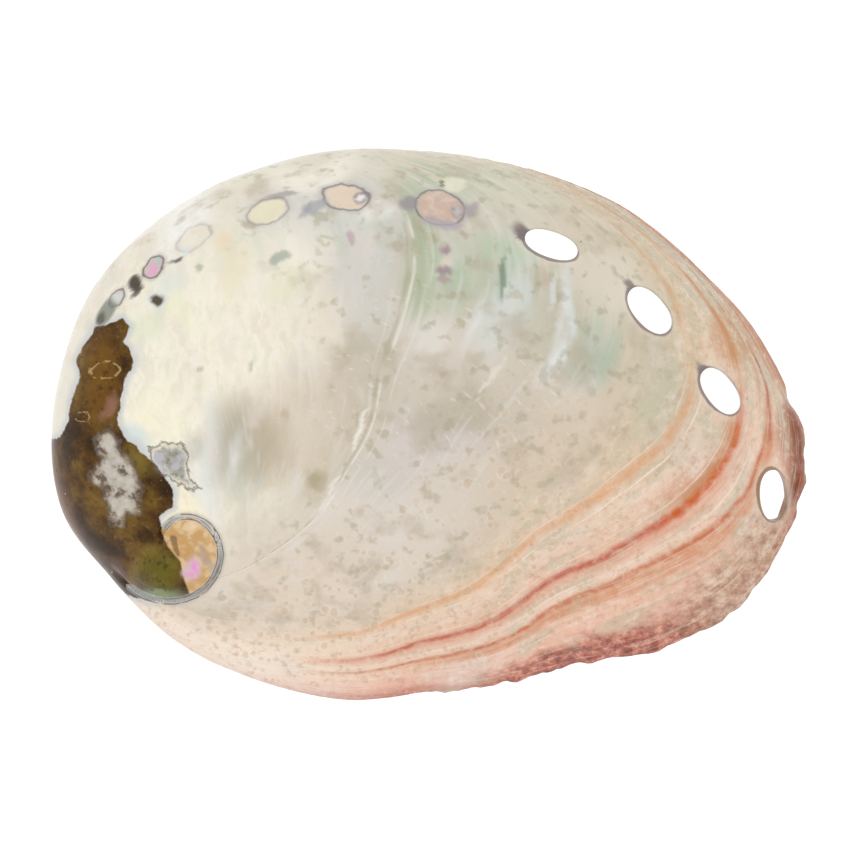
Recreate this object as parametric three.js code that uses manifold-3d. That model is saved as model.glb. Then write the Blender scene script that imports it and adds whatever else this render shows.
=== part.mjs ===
// Abalone shell: one grown piece, a low oval dome lying on its rim with the hollow underneath.
// Millimetres, Z up. +X is the growing end, +Y the side that carries the row of breathing pores.
import * as THREE from "three";
import Module from "manifold-3d";

// ---- Driving dimensions -------------------------------------------------------------------
const LENGTH = 130;
const WIDTH = 95;
const HEIGHT = 33;                       // ground to the top of the dome
const CEILING = 30.4;                    // ground to the highest point of the hollow
const RIM_WALL = 2.5;                    // wall measured square to the surface at the rim
const SHOULDER = 17;                     // height of the profile handle above the rim
const SUMMIT = [-4, 7];                  // top of the dome in plan
const SPIRE = [-42.5, -20.5];            // apex of the spire in plan
const SHELF_WIDTH = 7;                   // extra flat width of the inner lip
const SHELF_ANGLE = -2.05;               // direction in which the inner lip is widest, radians
const SHELF_SPREAD = 0.75;               // half spread of the inner lip, radians

// Plan outline, anticlockwise from the growing end.
const OUTLINE = [
  [65, -2.5], [57.5, 14.5], [47, 26.5], [36.5, 35.5], [24.5, 42], [11, 46], [-1.5, 47.5], [-13, 47.5],
  [-24.5, 45], [-36.5, 40], [-48, 32], [-58.5, 20], [-64.5, 2.5], [-63.5, -15], [-54.5, -27], [-43.5, -37.5],
  [-30, -44], [-15, -47.5], [-2, -46.5], [11, -45.5], [24, -42], [39.5, -39], [54, -31], [63, -17.5],
];

// Suture: a spiral round the spire that starts at the rim and winds inward.
const SUTURE_RADIUS = 6.7;
const SUTURE_RATE = 0.226;
const SUTURE_START = -2.44;
const WHORL_BULGE = 0.17;                // height of a spire whorl as a share of its radius
const SUTURE_DEPTH = 0.7;
const SUTURE_BREADTH = 1.5;

// Open pores: centre, half length, half width, turn of the long axis in degrees, drift of the throat.
const PORES = [
  { at: [20.6, 30.4], half: [4.7, 2.1], turn: -19, drift: [0.2, 0.6] },
  { at: [37.6, 19.5], half: [4.8, 2.6], turn: -48, drift: [0.4, 0.4] },
  { at: [49.8, 5.8], half: [4.5, 2.5], turn: -52, drift: [0.6, 0.3] },
  { at: [59.4, -12.1], half: [4.8, 2.9], turn: -84, drift: [1.1, 0] },
];
const PORE_FLARE = 1.25;                 // width of a pore at the outer face against its throat

// ---- Mesh density -------------------------------------------------------------------------
const SPOKES = 84;
const OUTER_RINGS = 30;
const INNER_RINGS = 15;
const PORE_SIDES = 24;

const TURN = 2 * Math.PI;
const mix = (a, b, t) => a + (b - a) * t;
const clamp01 = (t) => Math.min(1, Math.max(0, t));
const smooth = (t) => clamp01(t) ** 2 * (3 - 2 * clamp01(t));

// ---- Plan outline -------------------------------------------------------------------------
function outlineAt(angle) {
  const count = OUTLINE.length;
  const place = ((angle / TURN) * count + count) % count;
  const index = Math.floor(place);
  const t = place - index;
  const [p0, p1, p2, p3] = [-1, 0, 1, 2].map((step) => OUTLINE[(index + step + count) % count]);
  return [0, 1].map((axis) => 0.5 * (
    2 * p1[axis]
    + (p2[axis] - p0[axis]) * t
    + (2 * p0[axis] - 5 * p1[axis] + 4 * p2[axis] - p3[axis]) * t * t
    + (3 * p1[axis] - p0[axis] - 3 * p2[axis] + p3[axis]) * t * t * t
  ));
}

// Lean of the wall where it meets the ground, by direction: under 90 degrees slopes inward going up.
function wallLean(direction) {
  const degrees = 79.75 - 24 * Math.cos(direction) + 21.5 * Math.sin(direction) + 6.25 * Math.cos(2 * direction);
  return (degrees * Math.PI) / 180;
}

// ---- Profile from the summit to the rim ---------------------------------------------------
// Share of the plan radius and height at station s, for a crown height and a rim lean.
function profile(s, crown, lean) {
  const handle = SHOULDER / Math.tan(lean) / 60;
  const bend = 3 * s * s * (1 - s);
  const reach = 1.5 * s * (1 - s) ** 2 + bend * (1 - handle) + s ** 3;
  const height = crown * ((1 - s) ** 3 + 3 * s * (1 - s) ** 2) + bend * SHOULDER * (crown / HEIGHT);
  return [reach, height];
}

function widestReach(crown, lean) {
  let widest = 1;
  for (let s = 0.5; s < 1; s += 0.02) widest = Math.max(widest, profile(s, crown, lean)[0]);
  return widest;
}

// One point of a bowl. The inner bowl is drawn in by the wall at the rim and has a lower crown.
function bowlPoint(u, v, inner) {
  const s = Math.min(1, Math.hypot(u, v));
  const angle = (Math.atan2(v, u) + TURN) % TURN;
  const edge = outlineAt(angle);
  const direction = Math.atan2(edge[1], edge[0]);
  const lean = wallLean(direction);
  const crown = inner ? CEILING : HEIGHT;
  const widest = mix(1, widestReach(HEIGHT, lean), smooth(s * 1.2));
  const [reach, height] = profile(s, crown, lean);
  const round = Math.hypot(edge[0] / 62, edge[1] / 46);
  const size = Math.hypot(edge[0], edge[1]);
  const inset = inner ? 1 - mix(0, rimBand(direction, lean) * widest / size, s * s) - 0.02 * (1 - s) : 1;
  const share = (reach / widest) * mix(1 / round, 1, smooth(s)) * inset;
  return [
    SUMMIT[0] * (1 - s * s) + edge[0] * share,
    SUMMIT[1] * (1 - s * s) + edge[1] * share,
    height,
  ];
}

// Flat ground band: the wall thickness seen from below, plus the broad inner lip by the spire.
function rimBand(direction, lean) {
  const away = Math.atan2(Math.sin(direction - SHELF_ANGLE), Math.cos(direction - SHELF_ANGLE));
  return RIM_WALL / Math.sin(lean) + SHELF_WIDTH * Math.exp(-((away / SHELF_SPREAD) ** 2));
}

// ---- Relief of the spire ------------------------------------------------------------------
function spireRelief(x, y) {
  const radius = Math.max(0.4, Math.hypot(x - SPIRE[0], y - SPIRE[1]));
  const bearing = Math.atan2(y - SPIRE[1], x - SPIRE[0]);
  const sutureBearing = Math.log(SUTURE_RADIUS / radius) / SUTURE_RATE;
  const turns = (sutureBearing - bearing) / TURN;
  const whorl = Math.floor(turns);
  const across = turns - whorl;
  const outerAge = bearing + TURN * whorl;
  const present = smooth((outerAge - SUTURE_START) / 0.6 + 1);
  const bulge = WHORL_BULGE * Math.min(radius * 1.4, 11) * 4 * across * (1 - across);
  const outerGap = radius * (Math.exp(SUTURE_RATE * TURN * across) - 1);
  const innerGap = radius * (1 - Math.exp(-SUTURE_RATE * TURN * (1 - across)));
  const innerPresent = smooth((outerAge + TURN - SUTURE_START) / 0.6 + 1);
  const dip = (gap) => Math.exp(-((gap / SUTURE_BREADTH) ** 2));
  const groove = present * dip(outerGap) + innerPresent * dip(innerGap);
  return present * bulge - SUTURE_DEPTH * Math.min(1, groove) * smooth(radius / 3);
}

// ---- Grid of spokes from the spire to the rim ---------------------------------------------
// The spire's own place on the unit disc, found by stepping toward its plan position.
function spireStation() {
  let [u, v] = [-0.6, -0.4];
  for (let step = 0; step < 60; step += 1) {
    const [x, y] = bowlPoint(u, v, false);
    u += (SPIRE[0] - x) / 150;
    v += (SPIRE[1] - y) / 150;
  }
  return [u, v];
}

function discPoint(hub, spoke, share) {
  const bearing = (TURN * spoke) / SPOKES;
  const [du, dv] = [Math.cos(bearing), Math.sin(bearing)];
  const along = hub[0] * du + hub[1] * dv;
  const reach = -along + Math.sqrt(along * along + 1 - hub[0] ** 2 - hub[1] ** 2);
  return [hub[0] + du * reach * share, hub[1] + dv * reach * share];
}

const ringShare = (ring, rings) => (ring / rings) ** 1.6;

function surfaceNormal(u, v) {
  const step = 0.004;
  const corner = (du, dv) => new THREE.Vector3(...bowlPoint(u + du, v + dv, false));
  const along = corner(step, 0).sub(corner(-step, 0));
  const across = corner(0, step).sub(corner(0, -step));
  return along.cross(across).normalize();
}

function outerPoint(u, v) {
  const point = new THREE.Vector3(...bowlPoint(u, v, false));
  const fade = smooth((1 - Math.hypot(u, v)) / 0.08);
  const lift = spireRelief(point.x, point.y) * fade;
  if (Math.abs(lift) < 0.005) return point;
  return point.addScaledVector(surfaceNormal(u * 0.99, v * 0.99), lift);
}

function innerPoint(u, v) {
  return new THREE.Vector3(...bowlPoint(u, v, true));
}

// ---- Mesh ---------------------------------------------------------------------------------
function addDisc(points, faces, hub, rings, place, outward) {
  const start = points.length;
  points.push(place(hub[0], hub[1]));
  for (let ring = 1; ring <= rings; ring += 1) {
    for (let spoke = 0; spoke < SPOKES; spoke += 1) {
      points.push(place(...discPoint(hub, spoke, ringShare(ring, rings))));
    }
  }
  const at = (ring, spoke) => (ring === 0 ? start : start + 1 + (ring - 1) * SPOKES + (spoke % SPOKES));
  const face = (a, b, c) => faces.push(outward ? [a, b, c] : [a, c, b]);
  for (let spoke = 0; spoke < SPOKES; spoke += 1) {
    face(at(0, 0), at(1, spoke), at(1, spoke + 1));
    for (let ring = 1; ring < rings; ring += 1) {
      face(at(ring, spoke), at(ring + 1, spoke), at(ring + 1, spoke + 1));
      face(at(ring, spoke), at(ring + 1, spoke + 1), at(ring, spoke + 1));
    }
  }
  return (spoke) => at(rings, spoke);
}

function shellFaces() {
  const points = [];
  const faces = [];
  const hub = spireStation();
  const outerRim = addDisc(points, faces, hub, OUTER_RINGS, outerPoint, true);
  const innerRim = addDisc(points, faces, hub, INNER_RINGS, innerPoint, false);
  for (let spoke = 0; spoke < SPOKES; spoke += 1) {
    faces.push([outerRim(spoke), innerRim(spoke), innerRim(spoke + 1)]);
    faces.push([outerRim(spoke), innerRim(spoke + 1), outerRim(spoke + 1)]);
  }
  return { points: fitToSize(points.map((point) => point.toArray())), faces };
}

// Centre the shell over the origin and bring it to its stated length and width.
function fitToSize(points) {
  const [across, along] = [0, 1].map((axis) => points.map((point) => point[axis]));
  const [left, right, front, back] = [Math.min(...across), Math.max(...across), Math.min(...along), Math.max(...along)];
  return points.map(([x, y, z]) => [
    ((x - (left + right) / 2) * LENGTH) / (right - left),
    ((y - (front + back) / 2) * WIDTH) / (back - front),
    z,
  ]);
}

// A pore cutter: an oval bore that narrows from the outer face down to its throat.
function poreFaces({ at, half, turn, drift }) {
  const angle = (turn * Math.PI) / 180;
  const levels = [
    { height: -1, scale: 1.1, shift: 1.6 },
    { height: 8, scale: 1, shift: 1 },
    { height: 40, scale: PORE_FLARE, shift: -1 },
  ];
  const points = levels.flatMap(({ height, scale, shift }) => Array.from({ length: PORE_SIDES }, (_, side) => {
    const bearing = (TURN * side) / PORE_SIDES;
    const [long, wide] = [half[0] * scale * Math.cos(bearing), half[1] * scale * Math.sin(bearing)];
    return [
      at[0] - drift[0] * shift + long * Math.cos(angle) - wide * Math.sin(angle),
      at[1] - drift[1] * shift + long * Math.sin(angle) + wide * Math.cos(angle),
      height,
    ];
  }));
  const faces = [];
  for (let side = 0; side < PORE_SIDES; side += 1) {
    const next = (side + 1) % PORE_SIDES;
    for (let level = 0; level < levels.length - 1; level += 1) {
      const base = level * PORE_SIDES;
      faces.push([base + side, base + next, base + PORE_SIDES + next]);
      faces.push([base + side, base + PORE_SIDES + next, base + PORE_SIDES + side]);
    }
  }
  const top = (levels.length - 1) * PORE_SIDES;
  for (let side = 1; side < PORE_SIDES - 1; side += 1) {
    faces.push([0, side + 1, side]);
    faces.push([top, top + side, top + side + 1]);
  }
  return { points, faces };
}

// ---- Solid --------------------------------------------------------------------------------
const manifold = await Module();
manifold.setup();

function solid({ points, faces }) {
  const mesh = new manifold.Mesh({
    numProp: 3,
    vertProperties: new Float32Array(points.flat()),
    triVerts: new Uint32Array(faces.flat()),
  });
  return new manifold.Manifold(mesh);
}

function buildShell() {
  const bores = PORES.map((pore) => solid(poreFaces(pore)));
  const cut = bores.reduce((body, bore) => body.subtract(bore), solid(shellFaces()));
  const mesh = cut.getMesh();
  const geometry = new THREE.BufferGeometry();
  geometry.setAttribute("position", new THREE.BufferAttribute(new Float32Array(mesh.vertProperties), 3));
  geometry.setIndex(new THREE.BufferAttribute(new Uint32Array(mesh.triVerts), 1));
  geometry.computeVertexNormals();
  return geometry;
}

const shell = new THREE.Mesh(
  buildShell(),
  new THREE.MeshStandardMaterial({ name: "nacre", color: 0xcfc6b4, roughness: 0.25 }),
);
shell.name = "shell";

const group = new THREE.Group();
group.name = "abalone_shell";
group.add(shell);

export default group;
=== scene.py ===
"""A polished abalone shell lying on its rim, seen from straight above.

Lengths are in millimetres of the shell until the mesh is fitted to the frame.
X runs to the growing end, Y to the side with the pore row and Z up.
"""

import math

import bpy
import numpy as np
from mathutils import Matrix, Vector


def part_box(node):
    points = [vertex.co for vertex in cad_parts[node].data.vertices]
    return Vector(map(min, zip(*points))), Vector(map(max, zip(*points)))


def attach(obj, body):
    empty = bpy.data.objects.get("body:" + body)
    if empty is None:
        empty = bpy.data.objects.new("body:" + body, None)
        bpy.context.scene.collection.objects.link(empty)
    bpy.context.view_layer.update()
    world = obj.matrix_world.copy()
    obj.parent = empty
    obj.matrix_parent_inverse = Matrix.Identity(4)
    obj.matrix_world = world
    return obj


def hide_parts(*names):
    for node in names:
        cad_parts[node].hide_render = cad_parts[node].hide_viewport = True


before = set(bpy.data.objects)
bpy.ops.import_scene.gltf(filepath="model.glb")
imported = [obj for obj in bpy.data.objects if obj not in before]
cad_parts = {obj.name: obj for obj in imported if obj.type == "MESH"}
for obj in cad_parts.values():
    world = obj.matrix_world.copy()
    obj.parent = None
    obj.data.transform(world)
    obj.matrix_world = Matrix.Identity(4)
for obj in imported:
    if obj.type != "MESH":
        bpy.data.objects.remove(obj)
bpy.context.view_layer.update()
LOW, HIGH = (np.array(corner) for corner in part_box("shell"))
LENGTH, WIDTH, HEIGHT = (HIGH - LOW) * 1000

# ---- Driving dimensions ----
TURN = 2 * math.pi
CEILING = HEIGHT - 2.6  # ground to the highest point of the hollow
RIM_WALL = 2.5  # wall square to the surface at the rim
SHOULDER = 17.0  # height of the profile handle above the rim
MEAN_RADIUS = 60  # of the plan, for the slope of the profile
PLAN_OVAL = (62, 46)  # half size of the oval that the level lines take on near the summit
SUMMIT = np.array([-4.0, 7.0])
SPIRE = np.array([-42.5, -20.5])
SHELF_WIDTH = 7.0
SHELF_ANGLE = -2.05
SHELF_SPREAD = 0.75

# Plan outline, anticlockwise from the growing end.
OUTLINE = np.array([
    (65, -2.5), (57.5, 14.5), (47, 26.5), (36.5, 35.5), (24.5, 42), (11, 46), (-1.5, 47.5), (-13, 47.5),
    (-24.5, 45), (-36.5, 40), (-48, 32), (-58.5, 20), (-64.5, 2.5), (-63.5, -15), (-54.5, -27),
    (-43.5, -37.5), (-30, -44), (-15, -47.5), (-2, -46.5), (11, -45.5), (24, -42), (39.5, -39), (54, -31),
    (63, -17.5),
])

# The suture winds inward round the spire from the rim.
SUTURE_RADIUS = 6.7
SUTURE_RATE = 0.226
SUTURE_START = -2.44
WHORL_BULGE = 0.17
SUTURE_DEPTH = 0.9

# The shell grows by this rate for each radian that its rim turns round the pole.
POLE = np.array([-43.7, -18.7])
GROWTH_RATE = 0.475
RIM_START = -2.28  # bearing at which the rim leaves the spire
RIDGES = (0.035, 0.07, 0.122, 0.158, 0.2, 0.262)  # growth ages at which the rim stood still

# Open pores: centre, half length, half width, turn in degrees, drift of the throat, width of the lip.
OPEN_PORES = [
    ((20.6, 30.4), (4.75, 2.3), -19, (0.0, 0.0), 1.0),
    ((37.4, 19.4), (4.8, 2.75), -48, (0.05, 0.0), 1.0),
    ((49.5, 5.7), (4.6, 2.6), -52, (0.05, 0.0), 1.0),
    ((58.9, -12.0), (4.5, 2.6), -85, (0.4, -0.25), 0.8),
]
# Healed pores: centre, half length, half width, turn in degrees.
CLOSED_PORES = [
    ((1.8, 36.9), (4.4, 2.9), -14),
    ((-14.2, 38.7), (4.0, 2.2), -6),
    ((-27.6, 36.3), (3.7, 2.0), 22),
    ((-40.2, 31.8), (3.4, 1.7), 32),
    ((-47.1, 26.9), (2.2, 1.35), 48),
    ((-53.5, 21.6), (1.7, 1.0), 50),
]

# ---- Camera and light ----
LENS = 400  # millimetres, like the sensor
SENSOR = 36
FRAME_SHARE = 0.8708  # of the picture's width that the shell fills
CAMERA_PLAN = (0.0007, -0.0015)  # metres
CAMERA_RISE = 0.003  # metres above the distance that the share calls for
SKY_STRENGTH = 0.74
OVERHEAD_POWER = 17
KEY_POWER = 1.6
FLOOR_GLOW = 0.93

# ---- Mesh density ----
SPOKES = 400
OUTER_RINGS = 200
INNER_RINGS = 28
PORE_SIDES = 64
DISC_STEP = 0.004  # for slopes, on the unit disc that both bowls are drawn from


def smooth(t):
    t = np.clip(t, 0, 1)
    return t * t * (3 - 2 * t)


def mix(a, b, t):
    return a + (b - a) * t


def ripple(x, y, size, seed, waves=14):
    """A smooth random field near -1..1 whose bumps are about `size` across."""
    rng = np.random.RandomState(seed)
    bearing = rng.uniform(0, TURN, waves)
    pitch = TURN / (size * rng.uniform(1.4, 2.6, waves))
    phase = rng.uniform(0, TURN, waves)
    total = sum(
        np.sin((x * math.cos(b) + y * math.sin(b)) * p + f) for b, p, f in zip(bearing, pitch, phase)
    )
    return total / math.sqrt(waves)


def curve(p0, p1, p2, p3, t):
    """The point at t on a smooth curve from p1 to p2, led by the points either side."""
    bend = (2 * p0 - 5 * p1 + 4 * p2 - p3) * t**2
    return 0.5 * (2 * p1 + (p2 - p0) * t + bend + (3 * p1 - p0 - 3 * p2 + p3) * t**3)


# ---- Plan outline and profile ----
def outline_at(angle):
    count = len(OUTLINE)
    place = (angle / TURN * count) % count
    index = np.floor(place).astype(int) % count
    t = (place - np.floor(place))[..., None]
    return curve(*(OUTLINE[(index + step) % count] for step in (-1, 0, 1, 2)), t)


def wall_lean(direction):
    """Lean of the wall at the ground: under 90 degrees slopes inward going up."""
    degrees = 79.75 - 24 * np.cos(direction) + 21.5 * np.sin(direction) + 6.25 * np.cos(2 * direction)
    return np.radians(degrees)


def profile(s, crown, lean):
    """Share of the way out and height: s is 0 at the crown and 1 at the ground."""
    handle = SHOULDER / np.tan(lean) / MEAN_RADIUS
    bend = 3 * s * s * (1 - s)
    reach = 1.5 * s * (1 - s) ** 2 + bend * (1 - handle) + s**3
    height = crown * ((1 - s) ** 3 + 3 * s * (1 - s) ** 2) + bend * SHOULDER * crown / HEIGHT
    return reach, height


def widest_reach(lean):
    """How far the profile swings out beyond its foot, where the wall leans outward going up."""
    stations = np.arange(0.5, 1, 0.02)
    return np.maximum.reduce([np.ones_like(lean)] + [profile(s, HEIGHT, lean)[0] for s in stations])


def rim_band(direction, lean):
    """Width of the flat ground band: the wall, and the shelf under the spire."""
    away = np.arctan2(np.sin(direction - SHELF_ANGLE), np.cos(direction - SHELF_ANGLE))
    return RIM_WALL / np.sin(lean) + SHELF_WIDTH * np.exp(-((away / SHELF_SPREAD) ** 2))


def bowl(uv, inner=False):
    """Points of the plain outer or inner bowl for places on the unit disc."""
    s = np.minimum(1, np.hypot(uv[..., 0], uv[..., 1]))
    edge = outline_at(np.arctan2(uv[..., 1], uv[..., 0]) % TURN)
    direction = np.arctan2(edge[..., 1], edge[..., 0])
    lean = wall_lean(direction)
    widest = mix(1, widest_reach(lean), smooth(s * 1.2))
    reach, height = profile(s, CEILING if inner else HEIGHT, lean)
    oval = np.hypot(edge[..., 0] / PLAN_OVAL[0], edge[..., 1] / PLAN_OVAL[1])
    share = reach / widest * mix(1 / oval, 1, smooth(s))
    if inner:
        size = np.hypot(edge[..., 0], edge[..., 1])
        share = share * (1 - rim_band(direction, lean) * widest / size * s * s - 0.02 * (1 - s))
    plan = SUMMIT * (1 - s * s)[..., None] + edge * share[..., None]
    return np.concatenate([plan, height[..., None]], -1)


def bowl_slopes(uv, inner):
    """How far the bowl's point moves over a small step along each axis of the disc."""
    along = bowl(uv + (DISC_STEP, 0), inner) - bowl(uv - (DISC_STEP, 0), inner)
    across = bowl(uv + (0, DISC_STEP), inner) - bowl(uv - (0, DISC_STEP), inner)
    return along, across


def bowl_normal(uv, inner=False):
    normal = np.cross(*bowl_slopes(uv * 0.99, inner))
    return normal / np.linalg.norm(normal, axis=-1, keepdims=True)


def find_on_bowl(plan, inner=False):
    """The places on the disc whose bowl points lie at these plan positions."""
    uv = (plan - SUMMIT) / (80, 55)
    for _ in range(40):
        miss = plan - bowl(uv, inner)[..., :2]
        du, dv = (slope[..., :2] / (2 * DISC_STEP) for slope in bowl_slopes(uv, inner))
        det = du[..., 0] * dv[..., 1] - du[..., 1] * dv[..., 0]
        move_u = (miss[..., 0] * dv[..., 1] - miss[..., 1] * dv[..., 0]) / det
        move_v = (miss[..., 1] * du[..., 0] - miss[..., 0] * du[..., 1]) / det
        uv = uv + 0.7 * np.stack([move_u, move_v], -1)
        uv = uv * np.minimum(1, 0.995 / np.hypot(uv[..., 0], uv[..., 1]))[..., None]
    return uv


# ---- Growth and spire coordinates ----
def rim_distance():
    """Bearings from the rim's start, and the distance of the rim from the pole there."""
    ring = outline_at(np.linspace(0, TURN, 1440, endpoint=False)) - POLE
    bearing = (np.arctan2(ring[:, 1], ring[:, 0]) - RIM_START) % TURN
    order = np.argsort(bearing)
    return bearing[order], np.hypot(ring[order, 0], ring[order, 1])


def growth_age(x, y):
    """How far back the rim passed here, in radians of growth, and the bearing it had then."""
    bearings, distances = rim_distance()
    log_rim = np.log(distances)
    radius = np.maximum(0.3, np.hypot(x - POLE[0], y - POLE[1]))
    bearing = (np.arctan2(y - POLE[1], x - POLE[0]) - RIM_START) % TURN
    age = np.zeros_like(radius)
    lowest = np.zeros_like(radius)
    highest = bearing.copy()
    for _ in range(40):
        age = (lowest + highest) / 2
        rim = np.interp(bearing - age, bearings, log_rim)
        outside = np.log(radius) + GROWTH_RATE * age > rim
        highest = np.where(outside, age, highest)
        lowest = np.where(outside, lowest, age)
    return age, bearing - age


def spire_place(x, y):
    """Radius, whorl age, share across the whorl and gaps to the sutures either side."""
    radius = np.maximum(0.3, np.hypot(x - SPIRE[0], y - SPIRE[1]))
    bearing = np.arctan2(y - SPIRE[1], x - SPIRE[0])
    turns = (np.log(SUTURE_RADIUS / radius) / SUTURE_RATE - bearing) / TURN
    whorl = np.floor(turns)
    across = turns - whorl
    outer_age = bearing + TURN * whorl
    outer_gap = radius * (np.exp(SUTURE_RATE * TURN * across) - 1)
    inner_gap = radius * (1 - np.exp(-SUTURE_RATE * TURN * (1 - across)))
    return radius, outer_age, across, outer_gap, inner_gap


def suture_presence(age):
    """0 where the whorl has no suture yet, 1 where it has."""
    return smooth((age - SUTURE_START) / 0.5 + 1)


# ---- Relief ----
def spire_relief(x, y):
    radius, age, across, outer_gap, inner_gap = spire_place(x, y)
    bulge = WHORL_BULGE * np.minimum(radius * 1.4, 11) * (4 * across * (1 - across)) ** 0.8
    outer = suture_presence(age) * np.exp(-((outer_gap / 0.55) ** 2))
    inner = suture_presence(age + TURN) * np.exp(-((inner_gap / 0.55) ** 2))
    groove = SUTURE_DEPTH * np.minimum(1, outer + inner) * smooth((radius - 2.2) / 2)
    return suture_presence(age) * bulge * smooth((radius - 0.5) / 3) - groove


def oval_axes(x, y, centre, half, turn):
    """Distances along the two axes of an oval, each 1 where the oval crosses it."""
    angle = math.radians(turn)
    dx, dy = x - centre[0], y - centre[1]
    long = (dx * math.cos(angle) + dy * math.sin(angle)) / half[0]
    wide = (-dx * math.sin(angle) + dy * math.cos(angle)) / half[1]
    return long, wide


def oval_reach(x, y, centre, half, turn):
    """1 on the oval, less inside, more outside."""
    return np.hypot(*oval_axes(x, y, centre, half, turn))


def pore_relief(x, y):
    """Low mounds round the open pores, and rimmed dents where old pores have healed."""
    lift = np.zeros_like(x)
    for centre, half, turn, _, _ in OPEN_PORES:
        reach = oval_reach(x, y, centre, half, turn)
        lift += 0.45 * np.exp(-(((reach - 1) / 0.55) ** 2))
    for centre, half, turn in CLOSED_PORES:
        reach = oval_reach(x, y, centre, half, turn)
        size = half[1] / 3.3
        lift += size * (0.55 * np.exp(-(((reach - 1.05) / 0.3) ** 2)) - 0.5 * smooth((1 - reach) / 0.35))
    return lift


def growth_relief(x, y, age, place):
    """Ridges left by the rim as it grew, strongest on the young broad side."""
    wander = age + 0.004 * ripple(x, y, 9, 3) + 0.0025 * ripple(x, y, 3, 4)
    young = np.exp(-age / 0.35)
    broad = smooth((2.6 - np.abs(place - 1.9)) / 1.6)
    fine = np.sin(wander * 150) * 0.05 + np.sin(wander * 61 + 1) * 0.08
    step = 0.28 * sum(np.exp(-(((wander - at) / 0.007) ** 2)) for at in RIDGES)
    return young * (0.4 + 0.6 * broad) * (fine + step * broad)


def swell(x, y):
    """Gentle unevenness of the whole back, with soft pleats running to the old pores."""
    pleats = np.sin((x + 0.22 * y) * 0.85 + ripple(x, y, 16, 8)) * 0.1
    here = np.exp(-(((x + 32) / 15) ** 2) - ((y - 10) / 20) ** 2)
    return 0.22 * ripple(x, y, 22, 5) + 0.06 * ripple(x, y, 7, 6) + pleats * here


def outer_surface(uv):
    base = bowl(uv)
    x, y = base[..., 0], base[..., 1]
    age, place = growth_age(x, y)
    reach = np.hypot(uv[..., 0], uv[..., 1])
    calm = smooth((1 - reach) / 0.05)
    relief = spire_relief(x, y) + pore_relief(x, y) + swell(x, y) * smooth((1 - reach) / 0.2)
    relief = relief * calm + growth_relief(x, y, age, place) * smooth((1 - reach) / 0.02)
    point = base + bowl_normal(uv) * relief[..., None]
    return crumple(point, reach)


def inner_surface(uv):
    base = bowl(uv, inner=True)
    soft = 0.15 * ripple(base[..., 0], base[..., 1], 18, 21)
    reach = np.hypot(uv[..., 0], uv[..., 1])
    lift = soft * smooth((1 - reach) / 0.1)
    return base + bowl_normal(uv, inner=True) * lift[..., None]


def crumple(point, reach):
    """The growing edge is ragged along the lower right."""
    x, y = point[..., 0], point[..., 1]
    direction = np.arctan2(y, x)
    ragged = smooth((direction + 1.75) / 0.35) * smooth((0.25 - direction) / 0.3)
    arc = direction * 55
    lumps = 0.35 * ripple(arc, arc * 0, 4.5, 31) + 0.16 * ripple(arc, arc * 0, 1.6, 32) - 0.3
    push = (lumps * (0.08 + ragged)) * smooth((reach - 0.93) / 0.07)
    away = np.stack([np.cos(direction), np.sin(direction)], -1)
    moved = point.copy()
    moved[..., :2] += away * push[..., None]
    return moved


# ---- Mesh ----
def spoke_grid(rings, slow):
    """Places on the disc along spokes from the spire to the rim, closest together near the spire."""
    hub = find_on_bowl(SPIRE[None])[0]
    bearing = np.linspace(0, TURN, SPOKES, endpoint=False)
    rim = np.stack([np.cos(bearing), np.sin(bearing)], -1)
    q = np.arange(1, rings + 1) / rings
    share = q**slow * (1 + 0.5 * (1 - q))
    return hub, hub + (rim - hub)[None] * share[:, None, None]


class ShellMesh:
    """Collects points and faces; each disc is a hub point followed by its rings."""

    def __init__(self):
        self.points = []
        self.faces = []
        self.count = 0
        self.outer_span = self.inner_span = (0, 0)  # first point of each surface, and one past its last

    def add_points(self, points):
        start = self.count
        self.points.append(points.reshape(-1, 3))
        self.count += len(self.points[-1])
        return start

    def add_disc(self, surface, rings, slow, outward):
        hub, grid = spoke_grid(rings, slow)
        start = self.add_points(surface(np.concatenate([hub[None], grid.reshape(-1, 2)])))
        ids = start + 1 + np.arange(rings * SPOKES).reshape(rings, SPOKES)
        following = np.roll(ids, -1, axis=1)
        quads = np.stack([ids[:-1], ids[1:], following[1:], following[:-1]], -1).reshape(-1, 4)
        fan = np.stack([np.full(SPOKES, start), ids[0], following[0]], -1)
        faces = [list(face) for face in quads] + [list(face) for face in fan]
        self.faces += faces if outward else [face[::-1] for face in faces]
        return ids[-1]

    def add_strip(self, upper, lower):
        """Quads between two loops of the same length; seen from outside, upper lies above."""
        for a, b, c, d in zip(upper, lower, np.roll(lower, -1), np.roll(upper, -1)):
            self.faces.append([a, b, c, d])

    def all_points(self):
        return np.concatenate(self.points)


def open_hole(mesh, first, last, centre, half, turn):
    """Takes out the faces over an oval and returns the ragged loop left round it."""
    points = mesh.all_points()
    inside = np.zeros(mesh.count, bool)
    reach = oval_reach(points[first:last, 0], points[first:last, 1], centre, half, turn)
    inside[first:last] = reach < 1
    kept, follows = [], {}
    for face in mesh.faces:
        if any(inside[corner] for corner in face):
            for here, then in zip(face, face[1:] + face[:1]):
                follows[(here, then)] = True
        else:
            kept.append(face)
    border = {here: then for here, then in follows if (then, here) not in follows}
    mesh.faces = kept
    start = next(iter(border))
    loop = [start]
    while border[loop[-1]] != start:
        loop.append(border[loop[-1]])
    return loop


def bearings_round(points, loop, centre, half, turn):
    """Bearings of a loop's points round the middle of an oval, without jumps of a whole turn."""
    x, y = points[loop][:, 0], points[loop][:, 1]
    long, wide = oval_axes(x, y, centre, half, turn)
    return np.unwrap(np.arctan2(wide, long))


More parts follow.
